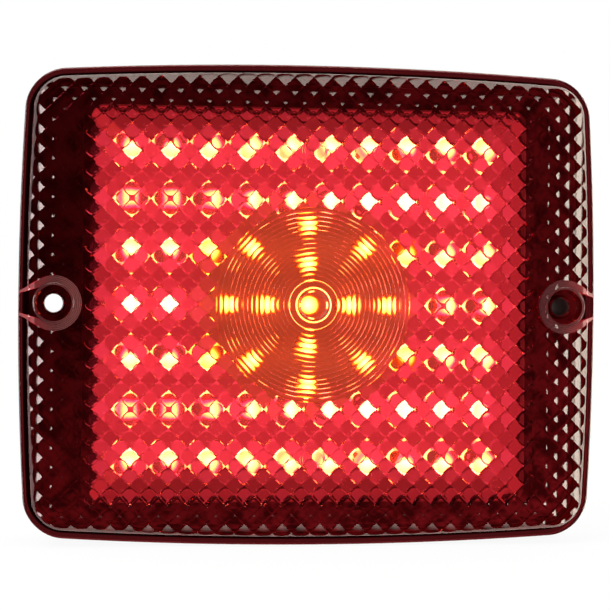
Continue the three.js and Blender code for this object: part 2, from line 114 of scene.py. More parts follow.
# ---- Light and finish
LED_POWER = 34.0
SIDE_POWER = 0.5
LEAN = 0.8  # how far the bright spot of a diode follows the view
WALL_GLOW = 0.5
LEG_GLOW = 0.5
ZINC_GLOW = 0.3
HAZE = 0.12
FROST = 0.55
TURNING_LINES = 14000.0  # radians per metre
ACRYLIC_IOR = 1.49
STOPS = (0.0, 0.7, 0.88, 0.96, 1.0)  # from the middle of a diode to its edge
RED_COLOURS = ((1.0, 0.85, 0.5), (1.0, 0.8, 0.14), (1.0, 0.5, 0.12), (1.0, 0.16, 0.4), (1.0, 0.12, 0.3))
RED_POWERS = (1.0, 0.85, 0.4, 0.15, 0.05)
AMBER_COLOURS = ((1.0, 1.0, 0.35), (1.0, 0.9, 0.08), (1.0, 0.7, 0.03), (1.0, 0.5, 0.02), (1.0, 0.4, 0.02))
AMBER_POWERS = (1.3, 1.0, 0.3, 0.08, 0.03)

# ---- Housing
HOUSING_BACK = 2.2
LEDGE_TOP = 18.0
WELL_FLOOR = 6.6
WALL = 2.0
LIP_TOP = 24.0  # the walls round the window rise past the ledge
WELL_HALF_WIDTH = 55.8
WELL_HALF_HEIGHT = 50.0
SLEEVE_RADIUS = 3.1
SCREW_PLACES = [(side * 50.8, up * 46.4) for side in (-1, 1) for up in (-1, 1)]
WIRES = (  # node, side of the cable, upper or lower, slot, colour
    ("wire_ground", -1, -1, "wire_white", (0.8, 0.8, 0.77)),
    ("wire_tail", 1, -1, "wire_brown", (0.16, 0.07, 0.03)),
    ("wire_stop", 1, 1, "wire_red", (0.5, 0.02, 0.02)),
    ("wire_turn", -1, 1, "wire_yellow", (0.75, 0.5, 0.03)),
)

# ---- Camera, in the frame's own axes
EYE = Vector((-65.0, -532.0, 0.0)) * MM
TARGET = Vector((-1.5, -FACE_TOP, 0.0)) * MM
FOCAL_LENGTH = 118.2
SHIFT_X = -0.0049
ROLL = 0.45

scene = bpy.context.scene


# ---- Mesh tools


def new_object(name, vertices, faces):
    lamp = np.asarray(vertices, float)
    row = np.column_stack((lamp[:, 0], -lamp[:, 2], lamp[:, 1])) * MM
    mesh = bpy.data.meshes.new(name)
    mesh.from_pydata(row.tolist(), [], [list(map(int, face)) for face in faces])
    piece = bpy.data.objects.new(name, mesh)
    scene.collection.objects.link(piece)
    return piece


def combine(target, operation, *tools):
    """Joins, cuts or intersects closed meshes; the tools are used up."""
    for tool in tools:
        modifier = target.modifiers.new(operation, "BOOLEAN")
        modifier.solver = "MANIFOLD"
        modifier.operation = operation
        modifier.object = tool
    depsgraph = bpy.context.evaluated_depsgraph_get()
    mesh = bpy.data.meshes.new_from_object(target.evaluated_get(depsgraph))
    target.modifiers.clear()
    old = target.data
    target.data = mesh
    bpy.data.meshes.remove(old)
    for tool in tools:
        bpy.data.objects.remove(tool)
    return target


def smooth(piece, sharp_angle):
    piece.data.shade_smooth()
    piece.data.set_sharp_from_angle(angle=math.radians(sharp_angle))
    return piece


def bow(x, y):
    """Pushes the straight-sided rectangle out to the lamp's bowed outline."""
    half_width, half_height = HALF_WIDTH - SIDE_BOW, HALF_HEIGHT - END_BOW
    sideways = SIDE_BOW / half_width * (1 - (y / half_height) ** 2)
    upwards = END_BOW / half_height * (1 - (x / half_width) ** 2)
    return x * (1 + sideways), y * (1 + upwards)


def outline(inset, corner_steps=12, edge_steps=20):
    """The lamp's outline moved in by inset, as one loop, counter-clockwise from the front."""
    radius = max(CORNER_RADIUS - inset, 2.0)
    half_width = HALF_WIDTH - SIDE_BOW - inset
    half_height = HALF_HEIGHT - END_BOW - inset
    points = []
    for corner in range(4):
        right = 1 if corner in (0, 3) else -1
        up = 1 if corner < 2 else -1
        for step in range(corner_steps + 1):
            angle = (corner + step / corner_steps) * math.pi / 2
            points.append((
                right * (half_width - radius) + radius * math.cos(angle),
                up * (half_height - radius) + radius * math.sin(angle),
            ))
    loop = []
    for index, point in enumerate(points):
        loop.append(bow(*point))
        if index % (corner_steps + 1) == corner_steps:
            following = points[(index + 1) % len(points)]
            for step in range(1, edge_steps):
                t = step / edge_steps
                loop.append(bow(*(a + (b - a) * t for a, b in zip(point, following))))
    return loop


def skin(name, loops, closed=False):
    """Skins equal loops of points, listed up the outside; open ends are capped."""
    count = len(loops[0])
    vertices = [point for loop in loops for point in loop]
    spans = len(loops) if closed else len(loops) - 1
    faces = []
    for span in range(spans):
        low = span * count
        high = (span + 1) % len(loops) * count
        for i in range(count):
            j = (i + 1) % count
            faces.append((low + i, low + j, high + j, high + i))
    if not closed:
        faces.append(range(count - 1, -1, -1))
        faces.append(range(spans * count, spans * count + count))
    return new_object(name, vertices, faces)


def outline_solid(name, profile, closed=False):
    """The lamp's outline swept along (inset, height) pairs."""
    loops = [[(x, y, height) for x, y in outline(inset)] for inset, height in profile]
    return skin(name, loops, closed)


def prism(name, points, back, front):
    return skin(name, [[(x, y, z) for x, y in points] for z in (back, front)])


def circle(x, y, radius, segments=64):
    turns = [math.tau * k / segments for k in range(segments)]
    return [(x + radius * math.cos(t), y + radius * math.sin(t)) for t in turns]


def rod(name, x, y, radius, back, front, segments=64):
    return prism(name, circle(x, y, radius, segments), back, front)


def box(name, low, high):
    corners = [(low[0], low[1]), (high[0], low[1]), (high[0], high[1]), (low[0], high[1])]
    return prism(name, corners, low[2], high[2])


def turned(name, x, y, profile, segments=64, closed=False):
    """A turned piece about z; the profile runs up the outside, and a closed one makes a ring."""
    loops = [[(*point, height) for point in circle(x, y, max(radius, 1e-3), segments)]
             for radius, height in profile]
    return skin(name, loops, closed)


def rounded_rectangle(half_width, half_height, radius, steps=8):
    points = []
    for corner, (right, up) in enumerate(((1, 1), (-1, 1), (-1, -1), (1, -1))):
        for step in range(steps + 1):
            angle = (corner + step / steps) * math.pi / 2
            points.append((right * (half_width - radius) + radius * math.cos(angle),
                           up * (half_height - radius) + radius * math.sin(angle)))
    return points


def curve_point(points, t):
    """A point of the smooth curve through all of points, for t from 0 to 1."""
    spans = len(points) - 1
    place = min(t * spans, spans - 1e-6)
    k = int(place)
    u = place - k
    before, start, end, after = (np.array(points[min(max(k + step, 0), spans)]) for step in (-1, 0, 1, 2))
    slope_in, slope_out = (end - before) / 2, (after - start) / 2
    return ((2 * u**3 - 3 * u**2 + 1) * start + (u**3 - 2 * u**2 + u) * slope_in
            + (3 * u**2 - 2 * u**3) * end + (u**3 - u**2) * slope_out)


def tube_loops(points, radius, start=0.0, end=1.0, steps=60, segments=20):
    """Rings about the curve through points, all turned the same way."""
    loops = []
    for step in range(steps + 1):
        t = start + (end - start) * step / steps
        centre = curve_point(points, t)
        along = curve_point(points, min(t + 1e-3, 1)) - curve_point(points, max(t - 1e-3, 0))
        along /= np.linalg.norm(along)
        across = np.cross(along, (0, 1, 0))
        across /= np.linalg.norm(across)
        up = np.cross(across, along)
        loops.append([centre + radius * (math.cos(a) * up + math.sin(a) * across)
                      for a in (math.tau * k / segments for k in range(segments))])
    return loops


def add_piece(piece, nodes, material, sharp_angle=35, body="housing"):
    """Finishes a piece: shading, material, the CAD nodes it stands for and the body it rides on."""
    smooth(piece, sharp_angle)
    piece.data.materials.clear()
    piece.data.materials.append(material)
    if nodes:
        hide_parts(*nodes)
    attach(piece, body)
    return piece


# ---- Lens


def cell_offset(i, j):
    """Squared distance from the middle of a facet, for lattice coordinates i and j."""
    across = (i % 1.0 - 0.5) * FACET_SIDE
    along = (j % 1.0 - 0.5) * FACET_SIDE
    return across**2 + along**2


def bowl(squared_distance, radius):
    return radius - np.sqrt(radius**2 - squared_distance)


CORNER_OFFSET = FACET_SIDE**2 / 2


def edge_rounding(x, y):
    """How far the face falls away towards the edges of the lens."""
    fall = 0
    for width, curvature in ROUNDINGS:
        from_side = np.clip(width - (HALF_WIDTH - np.abs(x)), 0, None)
        from_end = np.clip(width - (HALF_HEIGHT - np.abs(y)), 0, None)
        fall = fall + curvature / 2 * (from_side**2 + from_end**2)
    return fall


def outer_height(x, y, i, j):
    """Hollow square facets with sharp ridges between them."""
    hollow = bowl(CORNER_OFFSET, OUTER_DIMPLE_RADIUS) - bowl(cell_offset(i, j), OUTER_DIMPLE_RADIUS)
    return FACE_TOP - 0.05 - edge_rounding(x, y) - hollow


def inner_height(x, y, i, j):
    """Square pillows that swell towards the diodes, much flatter beyond the window."""
    rise = bowl(cell_offset(i, j), INNER_PILLOW_RADIUS)
    middle_i, middle_j = np.floor(i) + 0.5, np.floor(j) + 0.5
    middle_x = (middle_i - middle_j) * FACET_SIDE / SQRT2 + LATTICE_X
    middle_y = (middle_i + middle_j) * FACET_SIDE / SQRT2
    over_window = (np.abs(middle_x) < PILLOW_HALF_WIDTH) & (np.abs(middle_y) < PILLOW_HALF_HEIGHT)
    share = np.where(over_window, 1.0, OUTER_PILLOW_SHARE)
    return FACE_INSIDE - 0.55 + rise * share - edge_rounding(x, y)


def relief_block(name, steps, back, height):
    """A block whose front follows height over a lattice of facets set at 45 degrees."""
    reach = math.ceil((HALF_WIDTH + HALF_HEIGHT) / (SQRT2 * FACET_SIDE))
    line = np.arange(-reach * steps, reach * steps + 1) / steps
    i, j = np.meshgrid(line, line, indexing="ij")
    x = (i - j) * FACET_SIDE / SQRT2 + LATTICE_X
    y = (i + j) * FACET_SIDE / SQRT2
    front = np.stack((x, y, height(x, y, i, j)), axis=-1).reshape(-1, 3)
    index = np.arange(len(front)).reshape(len(line), len(line))
    quads = np.stack((index[:-1, :-1], index[1:, :-1], index[1:, 1:], index[:-1, 1:]), axis=-1)
    edge = np.concatenate((index[:-1, 0], index[-1, :-1], index[:0:-1, -1], index[0, :0:-1]))
    floor = front[edge] * (1, 1, 0) + (0, 0, back)
    below = len(front) + np.arange(len(edge))
    walls = np.stack((below, np.roll(below, -1), np.roll(edge, -1), edge), axis=-1)
    faces = quads.reshape(-1, 4).tolist() + walls.tolist() + [below[::-1].tolist()]
    return new_object(name, np.concatenate((front, floor)), faces)


def fresnel_disc():
    """Fine saw-tooth rings outside, low round ridges inside, about a bullseye with two raised rings."""
    pitch = (FRESNEL_RADIUS - BULLSEYE_RADIUS) / FRESNEL_RINGS
    ceiling = FACE_INSIDE - 0.3
    profile = [(0, ceiling), (BULLSEYE_RADIUS, ceiling)]
    ridge_steps = 6
    for ring in range(FRESNEL_RINGS):
        for step in range(1, ridge_steps + 1):
            t = step / ridge_steps
            ridge = 0.11 * (1 - (2 * t - 1) ** 2)
            profile.append((BULLSEYE_RADIUS + (ring + t) * pitch, ceiling - ridge))
    base = FACE_TOP - 0.75
    for ring in range(FRESNEL_RINGS, 0, -1):
        inner = BULLSEYE_RADIUS + (ring - 1) * pitch
        profile.append((inner + pitch, base))
        profile.append((inner + 0.08, base + 0.11))
    for middle, half, height in RAISED_RINGS:
        profile += [(middle + half, base + 0.05), (middle + half * 0.4, base + height),
                    (middle - half * 0.4, base + height), (middle - half, base + 0.05)]
    for step in range(5, -1, -1):
        radius = DOME_RADIUS * step / 5
        profile.append((radius, base + 0.05 + 0.12 * (1 - (step / 5) ** 2)))
    return turned("fresnel", 0, 0, profile, 128)


def teardrop(x, radius, tip_half_width, reach):
    """Counter-clockwise outline of a round pad drawn out to the lens edge."""
    side = math.copysign(1, x)
    start = TEARDROP_START
    points = [(x + side * reach, tip_half_width)]
    for step in range(49):
        angle = start + step / 48 * (math.tau - 2 * start)
        points.append((x + side * radius * math.cos(angle), radius * math.sin(angle)))
    points.append((x + side * reach, -tip_half_width))
    return points if side > 0 else points[::-1]


def boss_land(x):
    """The pad round a screw hole; its tip falls at 45 degrees to the rim."""
    side = math.copysign(1, x)
    edge = HALF_WIDTH - abs(x) - 0.25
    land = prism("land", teardrop(x, BOSS_RADIUS, TIP_HALF_WIDTH, edge), WEB_BACK, LAND_TOP)
    start = x + side * BOSS_RADIUS * 0.67
    reach = side * 12
    wedge = [(start, LAND_TOP), (start + reach, LAND_TOP - 12), (start + reach, ABOVE), (start, ABOVE)]
    loops = [[(px, y, pz) for px, pz in wedge] for y in (-10, 10)]
    if side > 0:
        loops = [loop[::-1] for loop in loops]
    return combine(land, "DIFFERENCE", skin("fall", loops))


def boss_pocket(x):
    """The hollow between the two legs of the pad, outside the tube."""
    side = math.copysign(1, x)
    inner = teardrop(x, BOSS_RADIUS - LEG_WIDTH, TIP_HALF_WIDTH - LEG_WIDTH / 2, HALF_WIDTH - abs(x) + 1)
    pocket = prism("pocket", inner, RIM_TOP, ABOVE)
    near, far = sorted((x + side * 3.5, x + side * 30))
    combine(pocket, "INTERSECT", box("keep", (near, -15, 20), (far, 15, ABOVE)))
    return combine(pocket, "DIFFERENCE", rod("pocket_core", x, 0, TUBE_RADIUS, 20, ABOVE + 1))


def lens_tube(x):
    top = FACE_TOP - 0.2
    profile = [(0, WEB_BACK), (TUBE_RADIUS, WEB_BACK), (TUBE_RADIUS, top - 0.35),
               (TUBE_RADIUS - 0.1, top - 0.1), (TUBE_RADIUS - 0.35, top), (0, top)]
    return turned("tube", x, 0, profile)


def hole_cutter(x):
    profile = [(0, 10), (HOLE_RADIUS, 10), (HOLE_RADIUS, RIM_TOP - 0.3), (HOLE_RADIUS + 0.3, RIM_TOP),
               (RECESS_RADIUS - 0.3, RIM_TOP), (RECESS_RADIUS, RIM_TOP + 0.3), (RECESS_RADIUS, 31.4),
               (RECESS_RADIUS + 0.3, 31.8), (RECESS_RADIUS + 0.5, ABOVE), (0, ABOVE)]
    return turned("hole", x, 0, profile)


def direction_mark(up):
    """A plain raised ring with a chevron beyond it."""
    top = FACE_TOP + 0.2
    ring = rod("mark", 0, up * MARK_Y, MARK_RADIUS, FACE_INSIDE, top, 48)
    bore = rod("mark_bore", 0, up * MARK_Y, MARK_RADIUS - 0.6, FACE_TOP - 0.8, ABOVE, 48)
    combine(ring, "DIFFERENCE", bore)
    foot = MARK_Y + 5.4
    points = [(-MARK_RADIUS, foot), (0, foot + 2.2), (MARK_RADIUS, foot), (MARK_RADIUS, foot + 1),
              (0, foot + 3.2), (-MARK_RADIUS, foot + 1)]
    outline_points = [(x, up * y) for x, y in points]
    if up < 0:
        outline_points.reverse()
    return ring, prism("chevron", outline_points, FACE_INSIDE, top)


def build_lens():
    lens = outline_solid("red_lens", [
        (0.0, LENS_BACK), (0.0, RIM_TOP - 0.3), (0.1, RIM_TOP - 0.08), (0.32, RIM_TOP),
        (RIM_WIDTH, RIM_TOP), (2.25, RIM_TOP + 0.3), (2.35, RIM_TOP + 2.7), (2.5, RIM_TOP + 2.95),
        (4.1, FACE_TOP - 0.25)])
    combine(lens, "INTERSECT", relief_block("face", 7, LENS_BACK - 5, outer_height))
    cavity = outline_solid("cavity", [
        (2.6, LENS_BACK - 1), (2.6, RIM_TOP + 0.2), (3.0, RIM_TOP + 1.2), (3.6, RIM_TOP + 1.8),
        (5.0, FACE_TOP + 2)])
    combine(cavity, "INTERSECT", relief_block("ceiling", 6, LENS_BACK - 3, inner_height))
    centre = rod("centre", 0, 0, FRESNEL_RADIUS, FACE_INSIDE - 5, ABOVE, 128)
    combine(lens, "DIFFERENCE", cavity, centre)
    combine(lens, "UNION", fresnel_disc(), *direction_mark(1), *direction_mark(-1))
    for x in (-HOLE_X, HOLE_X):
        combine(lens, "UNION", boss_land(x), lens_tube(x))
        combine(lens, "DIFFERENCE", boss_pocket(x), hole_cutter(x))
    add_piece(lens, ["lens"], lens_material(), 9, "lens")


# ---- Diodes


def diode_profile(top):
    seat = BOARD_FRONT + 0.15
    shoulder = top - LED_RADIUS
    profile = [(0, seat), (FLANGE_RADIUS, seat), (FLANGE_RADIUS, seat + 1), (LED_RADIUS, seat + 1.05),
               (LED_RADIUS, shoulder)]
    for step in range(1, 7):
        angle = step / 6 * math.pi / 2
        profile.append((LED_RADIUS * math.cos(angle), shoulder + LED_RADIUS * math.sin(angle)))
    return profile


def diode_places(node):
    """Where the diodes of one CAD node stand. The CAD diodes have seven sides, one corner down."""
    low, high = lamp_box(node)
    first = low[0] + FLANGE_RADIUS * math.cos(math.pi / 14)
    count = round((low[0] + high[0] - 2 * first) / LED_PITCH) + 1
    return [(first + k * LED_PITCH, low[1] + FLANGE_RADIUS) for k in range(count)]


def diode_row(name, node, material):
    """The diodes of one CAD node, each a smooth dome on its flange."""
    segments = 24
    profile = diode_profile(lamp_box(node)[1][2])
    vertices, faces = [], []
    for x, y in diode_places(node):
        start = len(vertices)
        for radius, height in profile:
            vertices += [(*point, height) for point in circle(x, y, max(radius, 0.01), segments)]
        for span in range(len(profile) - 1):
            base = start + span * segments
            for a in range(segments):
                b = (a + 1) % segments
                faces.append((base + a, base + b, base + segments + b, base + segments + a))
        top = start + (len(profile) - 1) * segments
        faces.append([start + a for a in range(segments - 1, -1, -1)])
        faces.append([top + a for a in range(segments)])
    add_piece(new_object(name, vertices, faces), [node], material, 40)


# ---- Housing, seals and fastenings


def upright(name, x, y, radius, back, front):
    """A moulded post, a little thicker at its root."""
    return turned(name, x, y, [(0, back), (radius + 0.25, back), (radius, back + 1), (radius, front - 0.25),
                               (radius - 0.25, front), (0, front)], 40)


def rib(x, y, half_width, half_height):
    low = (x - half_width, y - half_height, HOUSING_BACK + 1.5)
    return box("rib", low, (x + half_width, y + half_height, LEDGE_TOP - 1.5))


def build_housing(material):
    shell = outline_solid("black_housing", [
        (2.0, HOUSING_BACK), (1.7, HOUSING_BACK + 0.1), (1.58, HOUSING_BACK + 0.5), (1.2, 9.0),
        (0.95, 9.1), (0.72, LEDGE_TOP - 0.4), (0.8, LEDGE_TOP - 0.1), (1.1, LEDGE_TOP)])
    hollow = outline_solid("hollow", [(3.8, HOUSING_BACK - 1), (2.9, LEDGE_TOP - WALL)])
    combine(shell, "DIFFERENCE", hollow)
    foot = outline_solid("foot", [(1.7, HOUSING_BACK), (1.6, 4.2), (6, 4.2), (6, HOUSING_BACK)], True)
    tongue = outline_solid("tongue", [
        (3.2, LEDGE_TOP - 0.5), (3.2, 20.8), (3.4, 21), (4.2, 21), (4.4, 20.8), (4.4, LEDGE_TOP - 0.5)], True)
    outer = rounded_rectangle(WELL_HALF_WIDTH + WALL, WELL_HALF_HEIGHT + WALL, 5)
    inner = rounded_rectangle(WELL_HALF_WIDTH, WELL_HALF_HEIGHT, 3)
    well = prism("well", outer, WELL_FLOOR - WALL, LIP_TOP)
    rib_y = (WELL_HALF_HEIGHT + HALF_HEIGHT) / 2
    rib_x = (WELL_HALF_WIDTH + HALF_WIDTH) / 2 - 1
    ribs = [rib(x, up * rib_y, 0.8, 3) for x in (-42, -14, 14, 42) for up in (-1, 1)]
    ribs += [rib(side * rib_x, y, 7, 0.8) for y in (-34, 34) for side in (-1, 1)]
    columns = [upright("column", x, 0, 4.6, HOUSING_BACK, 24.7) for x in (-HOLE_X, HOLE_X)]
    combine(shell, "UNION", foot, tongue, well, *ribs, *columns)
    combine(shell, "DIFFERENCE", prism("well_inside", inner, WELL_FLOOR, ABOVE))
    posts = [upright("post", x, y, 3.1, WELL_FLOOR - 1, BOARD_BACK - 0.1) for x, y in SCREW_PLACES]
    combine(shell, "UNION", *posts)
    combine(
        shell, "DIFFERENCE",
        *(rod("bore", x, 0, SLEEVE_RADIUS + 0.2, 0, 30) for x in (-HOLE_X, HOLE_X)),
        *(rod("pilot", x, y, 1.4, 7.6, 20, 24) for x, y in SCREW_PLACES),
        rod("cable_hole", 0, CABLE_Y, 4.6, 0, 10), rod("vent_hole", VENT_X, CABLE_Y, 2.6, 0, 10))
    add_piece(shell, ["housing"], material, 30)


def build_seals(rubber, foam):
    seal = outline_solid("lens_seal", [
        (1.1, 18.2), (0.9, 18.4), (0.9, 20.0), (1.1, 20.2), (2.3, 20.2), (2.5, 20.0), (2.5, 18.4),
        (2.3, 18.2)], True)
    add_piece(seal, ["lens_gasket"], rubber)
    gasket = outline_solid("panel_gasket", [
        (1.15, 0), (0.9, 0.3), (0.8, 1.0), (0.9, 1.7), (1.15, 2.0), (6.25, 2.0), (6.5, 1.7), (6.6, 1.0),
        (6.5, 0.3), (6.25, 0)], True)
    pads = [turned("pad", x, 0, [(0, 0), (6.2, 0), (6.4, 0.3), (6.4, 1.7), (6.2, 2.0), (0, 2.0)])
            for x in (-HOLE_X, HOLE_X)]
    eyes = [rod("eye", x, 0, SLEEVE_RADIUS + 0.3, -1, 5) for x in (-HOLE_X, HOLE_X)]
    combine(gasket, "UNION", *pads)
    combine(gasket, "DIFFERENCE", *eyes)
    add_piece(gasket, ["mounting_gasket"], foam)
    vent = turned("vent", VENT_X, CABLE_Y, [
        (0, 3.2), (2.0, 3.2), (2.2, 3.5), (2.4, 6.8), (3.5, 6.85), (3.6, 7.1), (3.6, 7.7), (3.3, 8.0),
        (0, 8.2)])
    bores = [rod("vent_bore", VENT_X + dx, CABLE_Y, 0.3, 2, 5, 16) for dx in (-0.9, 0, 0.9)]
    combine(vent, "DIFFERENCE", *bores)
    add_piece(vent, ["vent_plug"], rubber)


def build_fastenings(zinc, steel):
    head = BOARD_FRONT + 0.15
    for index, (x, y) in enumerate(SCREW_PLACES, 1):
        profile = [(0, 8), (0.9, 8.6)]
        for turn in range(6):
            height = 9.4 + turn * 0.85
            profile += [(1.2, height), (1.45, height + 0.3), (1.2, height + 0.6)]
        profile += [(1.25, head), (2.6, head), (2.65, head + 0.5), (2.4, head + 1.1), (1.7, head + 1.6),
                    (0, head + 1.9)]
        screw = turned(f"board_screw_{index}_fine", x, y, profile, 32)
        top = head + 2.5
        combine(screw, "DIFFERENCE",
                box("slot", (x - 1.5, y - 0.3, head + 0.9), (x + 1.5, y + 0.3, top)),
                box("slot", (x - 0.3, y - 1.5, head + 0.9), (x + 0.3, y + 1.5, top)))
        add_piece(screw, [f"board_screw_{index}"], zinc)
    for side, x in (("left", -HOLE_X), ("right", HOLE_X)):
        sleeve = turned(f"sleeve_{side}", x, 0, [
            (HOLE_RADIUS, 0.6), (HOLE_RADIUS + 0.15, 0.4), (SLEEVE_RADIUS - 0.12, 0.4),
            (SLEEVE_RADIUS, 0.6), (SLEEVE_RADIUS, 24.6), (SLEEVE_RADIUS - 0.12, 24.8),
            (HOLE_RADIUS + 0.15, 24.8), (HOLE_RADIUS, 24.6)], closed=True)
        add_piece(sleeve, [f"mounting_sleeve_{side}"], steel)


# ---- Board and what stands behind it


def build_board(material):
    half = (BOARD_HIGH - BOARD_LOW) / 2
    board = prism("board", rounded_rectangle(half[0], half[1], 3), BOARD_BACK, BOARD_FRONT)
    combine(board, "DIFFERENCE", *(rod("clearance", x, y, 1.7, 10, 20, 32) for x, y in SCREW_PLACES))
    add_piece(board, ["circuit_board"], material)


def lying(name, x, y, z, profile, segments=24):
    """A turned piece about x, from (radius, place along x) pairs."""
    loops = [[(x + along, y + radius * math.sin(a), z + radius * math.cos(a))
              for a in (math.tau * k / segments for k in range(segments))] for radius, along in profile]
    return skin(name, [loop[::-1] for loop in loops])


def axial_part(node, radius, material):
    """A resistor or diode on two bent leads, in the place of its CAD node."""
    low, high = lamp_box(node)
    x, y = (low[:2] + high[:2]) / 2
    z = low[2] + radius
    half = (high[0] - low[0]) / 2 - 1.5
    bulge = [(0.01, -half), (radius * 0.75, -half), (radius, -half * 0.85), (radius, -half * 0.6),
             (radius * 0.86, -half * 0.5), (radius * 0.86, half * 0.5), (radius, half * 0.6),
             (radius, half * 0.85), (radius * 0.75, half), (0.01, half)]
    part = lying(f"{node}_fine", x, y, z, bulge)
    reach = half + 1.1
    lead = [(x - reach, y, BOARD_BACK - 0.15), (x - reach, y, z + 0.3), (x - reach + 0.3, y, z),
            (x + reach - 0.3, y, z), (x + reach, y, z + 0.3), (x + reach, y, BOARD_BACK - 0.15)]
    combine(part, "UNION", skin("lead", tube_loops(lead, 0.3, steps=50, segments=12)))
    add_piece(part, [node], material)


def build_back_parts(resistor, diode, can):
    for node in sorted(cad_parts):
        if node.startswith("resistor"):
            axial_part(node, 1.15, resistor)
        elif node.startswith("diode"):
            axial_part(node, 1.3, diode)
    profile = [(0, 7.2), (2.8, 7.2), (3.05, 7.3), (3.15, 7.5), (3.15, 11.4), (3.0, 11.6), (2.9, 11.8),
               (3.0, 12.0), (3.15, 12.2), (3.15, 12.7), (3.0, 12.8), (0, 12.8)]
    can_piece = turned("capacitor_fine", -VENT_X, CABLE_Y, profile)
    add_piece(can_piece, ["capacitor"], can)


# ---- Cable


def build_cable(jacket_material, rubber, tin):
    low, high = lamp_box("cable_jacket")
    jacket = turned("cable_sheath", 0, CABLE_Y, [
        (2.2, low[2] + 0.1), (2.3, low[2]), (2.9, low[2]), (3.0, low[2] + 0.15), (3.0, high[2] - 0.15),
        (2.9, high[2]), (2.3, high[2]), (2.2, high[2] - 0.1)], closed=True)
    add_piece(jacket, ["cable_jacket"], jacket_material)
    grommet = turned("cable_grommet", 0, CABLE_Y, [
        (3.15, 3.2), (3.3, 3.1), (5.2, 3.1), (5.8, 3.3), (6.0, 3.7), (6.0, 4.2), (5.8, 4.4), (4.4, 4.45),
        (4.4, 6.8), (5.9, 6.85), (6.0, 7.0), (6.0, 7.5), (5.6, 7.9), (4.6, 8.3), (3.3, 8.3), (3.15, 8.2)],
        closed=True)
    add_piece(grommet, ["wire_grommet"], rubber)
    for node, side, up, slot, colour in WIRES:
        insulation = grained(f"{node}_insulation", colour, 0.4, 0.0008)
        build_wire(node, side, up, low[2], high[2], insulation, tin)


def build_wire(node, side, up, jacket_back, jacket_front, material, tin):
    """One insulated core with a short stripped end of tinned strands."""
    tail = lamp_box(node)[0][2]
    inside = 0.85
    path = [(side * 4.5, CABLE_Y + up * 3, BOARD_BACK - 0.7), (side * 2.2, CABLE_Y + up * 1.6, 11.0)]
    path += [(side * inside, CABLE_Y + up * inside, z) for z in (jacket_front - 1, -8.0, jacket_back + 1)]
    path += [(side * 1.9, CABLE_Y + up * 1.8, jacket_back - 5), (side * 4.5, CABLE_Y + up * 4, tail + 0.2)]
    core = skin(f"{node}_core", tube_loops(path, 0.62, end=0.93, steps=90))
    add_piece(core, [node], material)
    strands = skin(f"{node}_strands", tube_loops(path, 0.4, start=0.931, end=1.0, steps=16, segments=12))
    add_piece(strands, [], tin)


# ---- Materials


class Nodes:
    """A small hand for building a shader tree."""

    def __init__(self, owner, start_empty=True):
        owner.use_nodes = True
        self.tree = owner.node_tree
        if start_empty:
            self.tree.nodes.clear()

    def add(self, kind, inputs=None, **settings):
        """A new node with its settings, and each input linked or set."""
        node = self.tree.nodes.new(kind)
        for key, value in settings.items():
            setattr(node, key, value)
        for key, value in (inputs or {}).items():
            socket = node.inputs[key]
            if isinstance(value, bpy.types.NodeSocket):
                self.tree.links.new(value, socket)
            else:
                socket.default_value = value
        return node

    def math(self, operation, first, second=0.0, third=0.0):
        node = self.add("ShaderNodeMath", {0: first, 1: second, 2: third}, operation=operation)
        return node.outputs[0]

    def product(self, first, *others):
        for other in others:
            first = self.math("MULTIPLY", first, other)
        return first

    def fade(self, value, low, high, start=0.0, end=1.0, curve="LINEAR"):
        """Goes from start to end while value goes from low to high."""
        inputs = {0: value, 1: low, 2: high, 3: start, 4: end}
        return self.add("ShaderNodeMapRange", inputs, interpolation_type=curve).outputs[0]

    def noise(self, place, scale, detail=2.0):
        inputs = {"Vector": place, "Scale": scale, "Detail": detail}
        return self.add("ShaderNodeTexNoise", inputs).outputs["Fac"]

    def place(self):
        """Object coordinates: the vector and its three parts."""
        vector = self.add("ShaderNodeTexCoord").outputs["Object"]
        return vector, *self.add("ShaderNodeSeparateXYZ", {0: vector}).outputs

    def vector(self, operation, first, second=(0, 0, 0), output="Vector"):
        node = self.add("ShaderNodeVectorMath", {0: first, 1: second}, operation=operation)
        return node.outputs[output]

    def distance(self, across, along):
        joined = self.add("ShaderNodeCombineXYZ", {0: across, 2: along}).outputs[0]
        return self.vector("LENGTH", joined, output="Value")

    def ramp(self, factor, stops):
        node = self.add("ShaderNodeValToRGB", {"Fac": factor})
        elements = node.color_ramp.elements
        while len(elements) < len(stops):
            elements.new(0.5)
        for element, (position, colour) in zip(elements, stops):
            element.position = position
            element.color = (*colour, 1)
        return node.outputs["Color"]

    def mix(self, factor, first, second):
        colours = [value if isinstance(value, bpy.types.NodeSocket) else (*value, 1)
                   for value in (first, second)]
        inputs = {0: factor, 6: colours[0], 7: colours[1]}
        return self.add("ShaderNodeMix", inputs, data_type="RGBA").outputs[2]

    def blend(self, factor, first, second):
        return self.add("ShaderNodeMixShader", {0: factor, 1: first, 2: second}).outputs[0]

    def end(self, shader, kind="ShaderNodeOutputMaterial"):
        self.add(kind, {"Surface": shader})


def new_material(name):
    material = bpy.data.materials.new(name)
    return material, Nodes(material)


def polished_acrylic(nodes, place):
    """Clear red acrylic: untinted reflections, tinted on the way through, and slightly milky."""
    fresnel = nodes.add("ShaderNodeFresnel", {"IOR": ACRYLIC_IOR}).outputs[0]
    tint = nodes.mix(nodes.noise(place, 90.0, 3.0), (0.93, 0.27, 0.31), (0.95, 0.30, 0.34))
    clear, milky = (
        nodes.add("ShaderNodeBsdfRefraction", {"Color": tint, "Roughness": roughness, "IOR": ACRYLIC_IOR})
        for roughness in (0.0, 0.25))
    through = nodes.blend(HAZE, clear.outputs[0], milky.outputs[0])
    shine = nodes.add("ShaderNodeBsdfGlossy", {"Color": (1, 1, 1, 1), "Roughness": 0.0}).outputs[0]
    return nodes.blend(fresnel, through, shine)


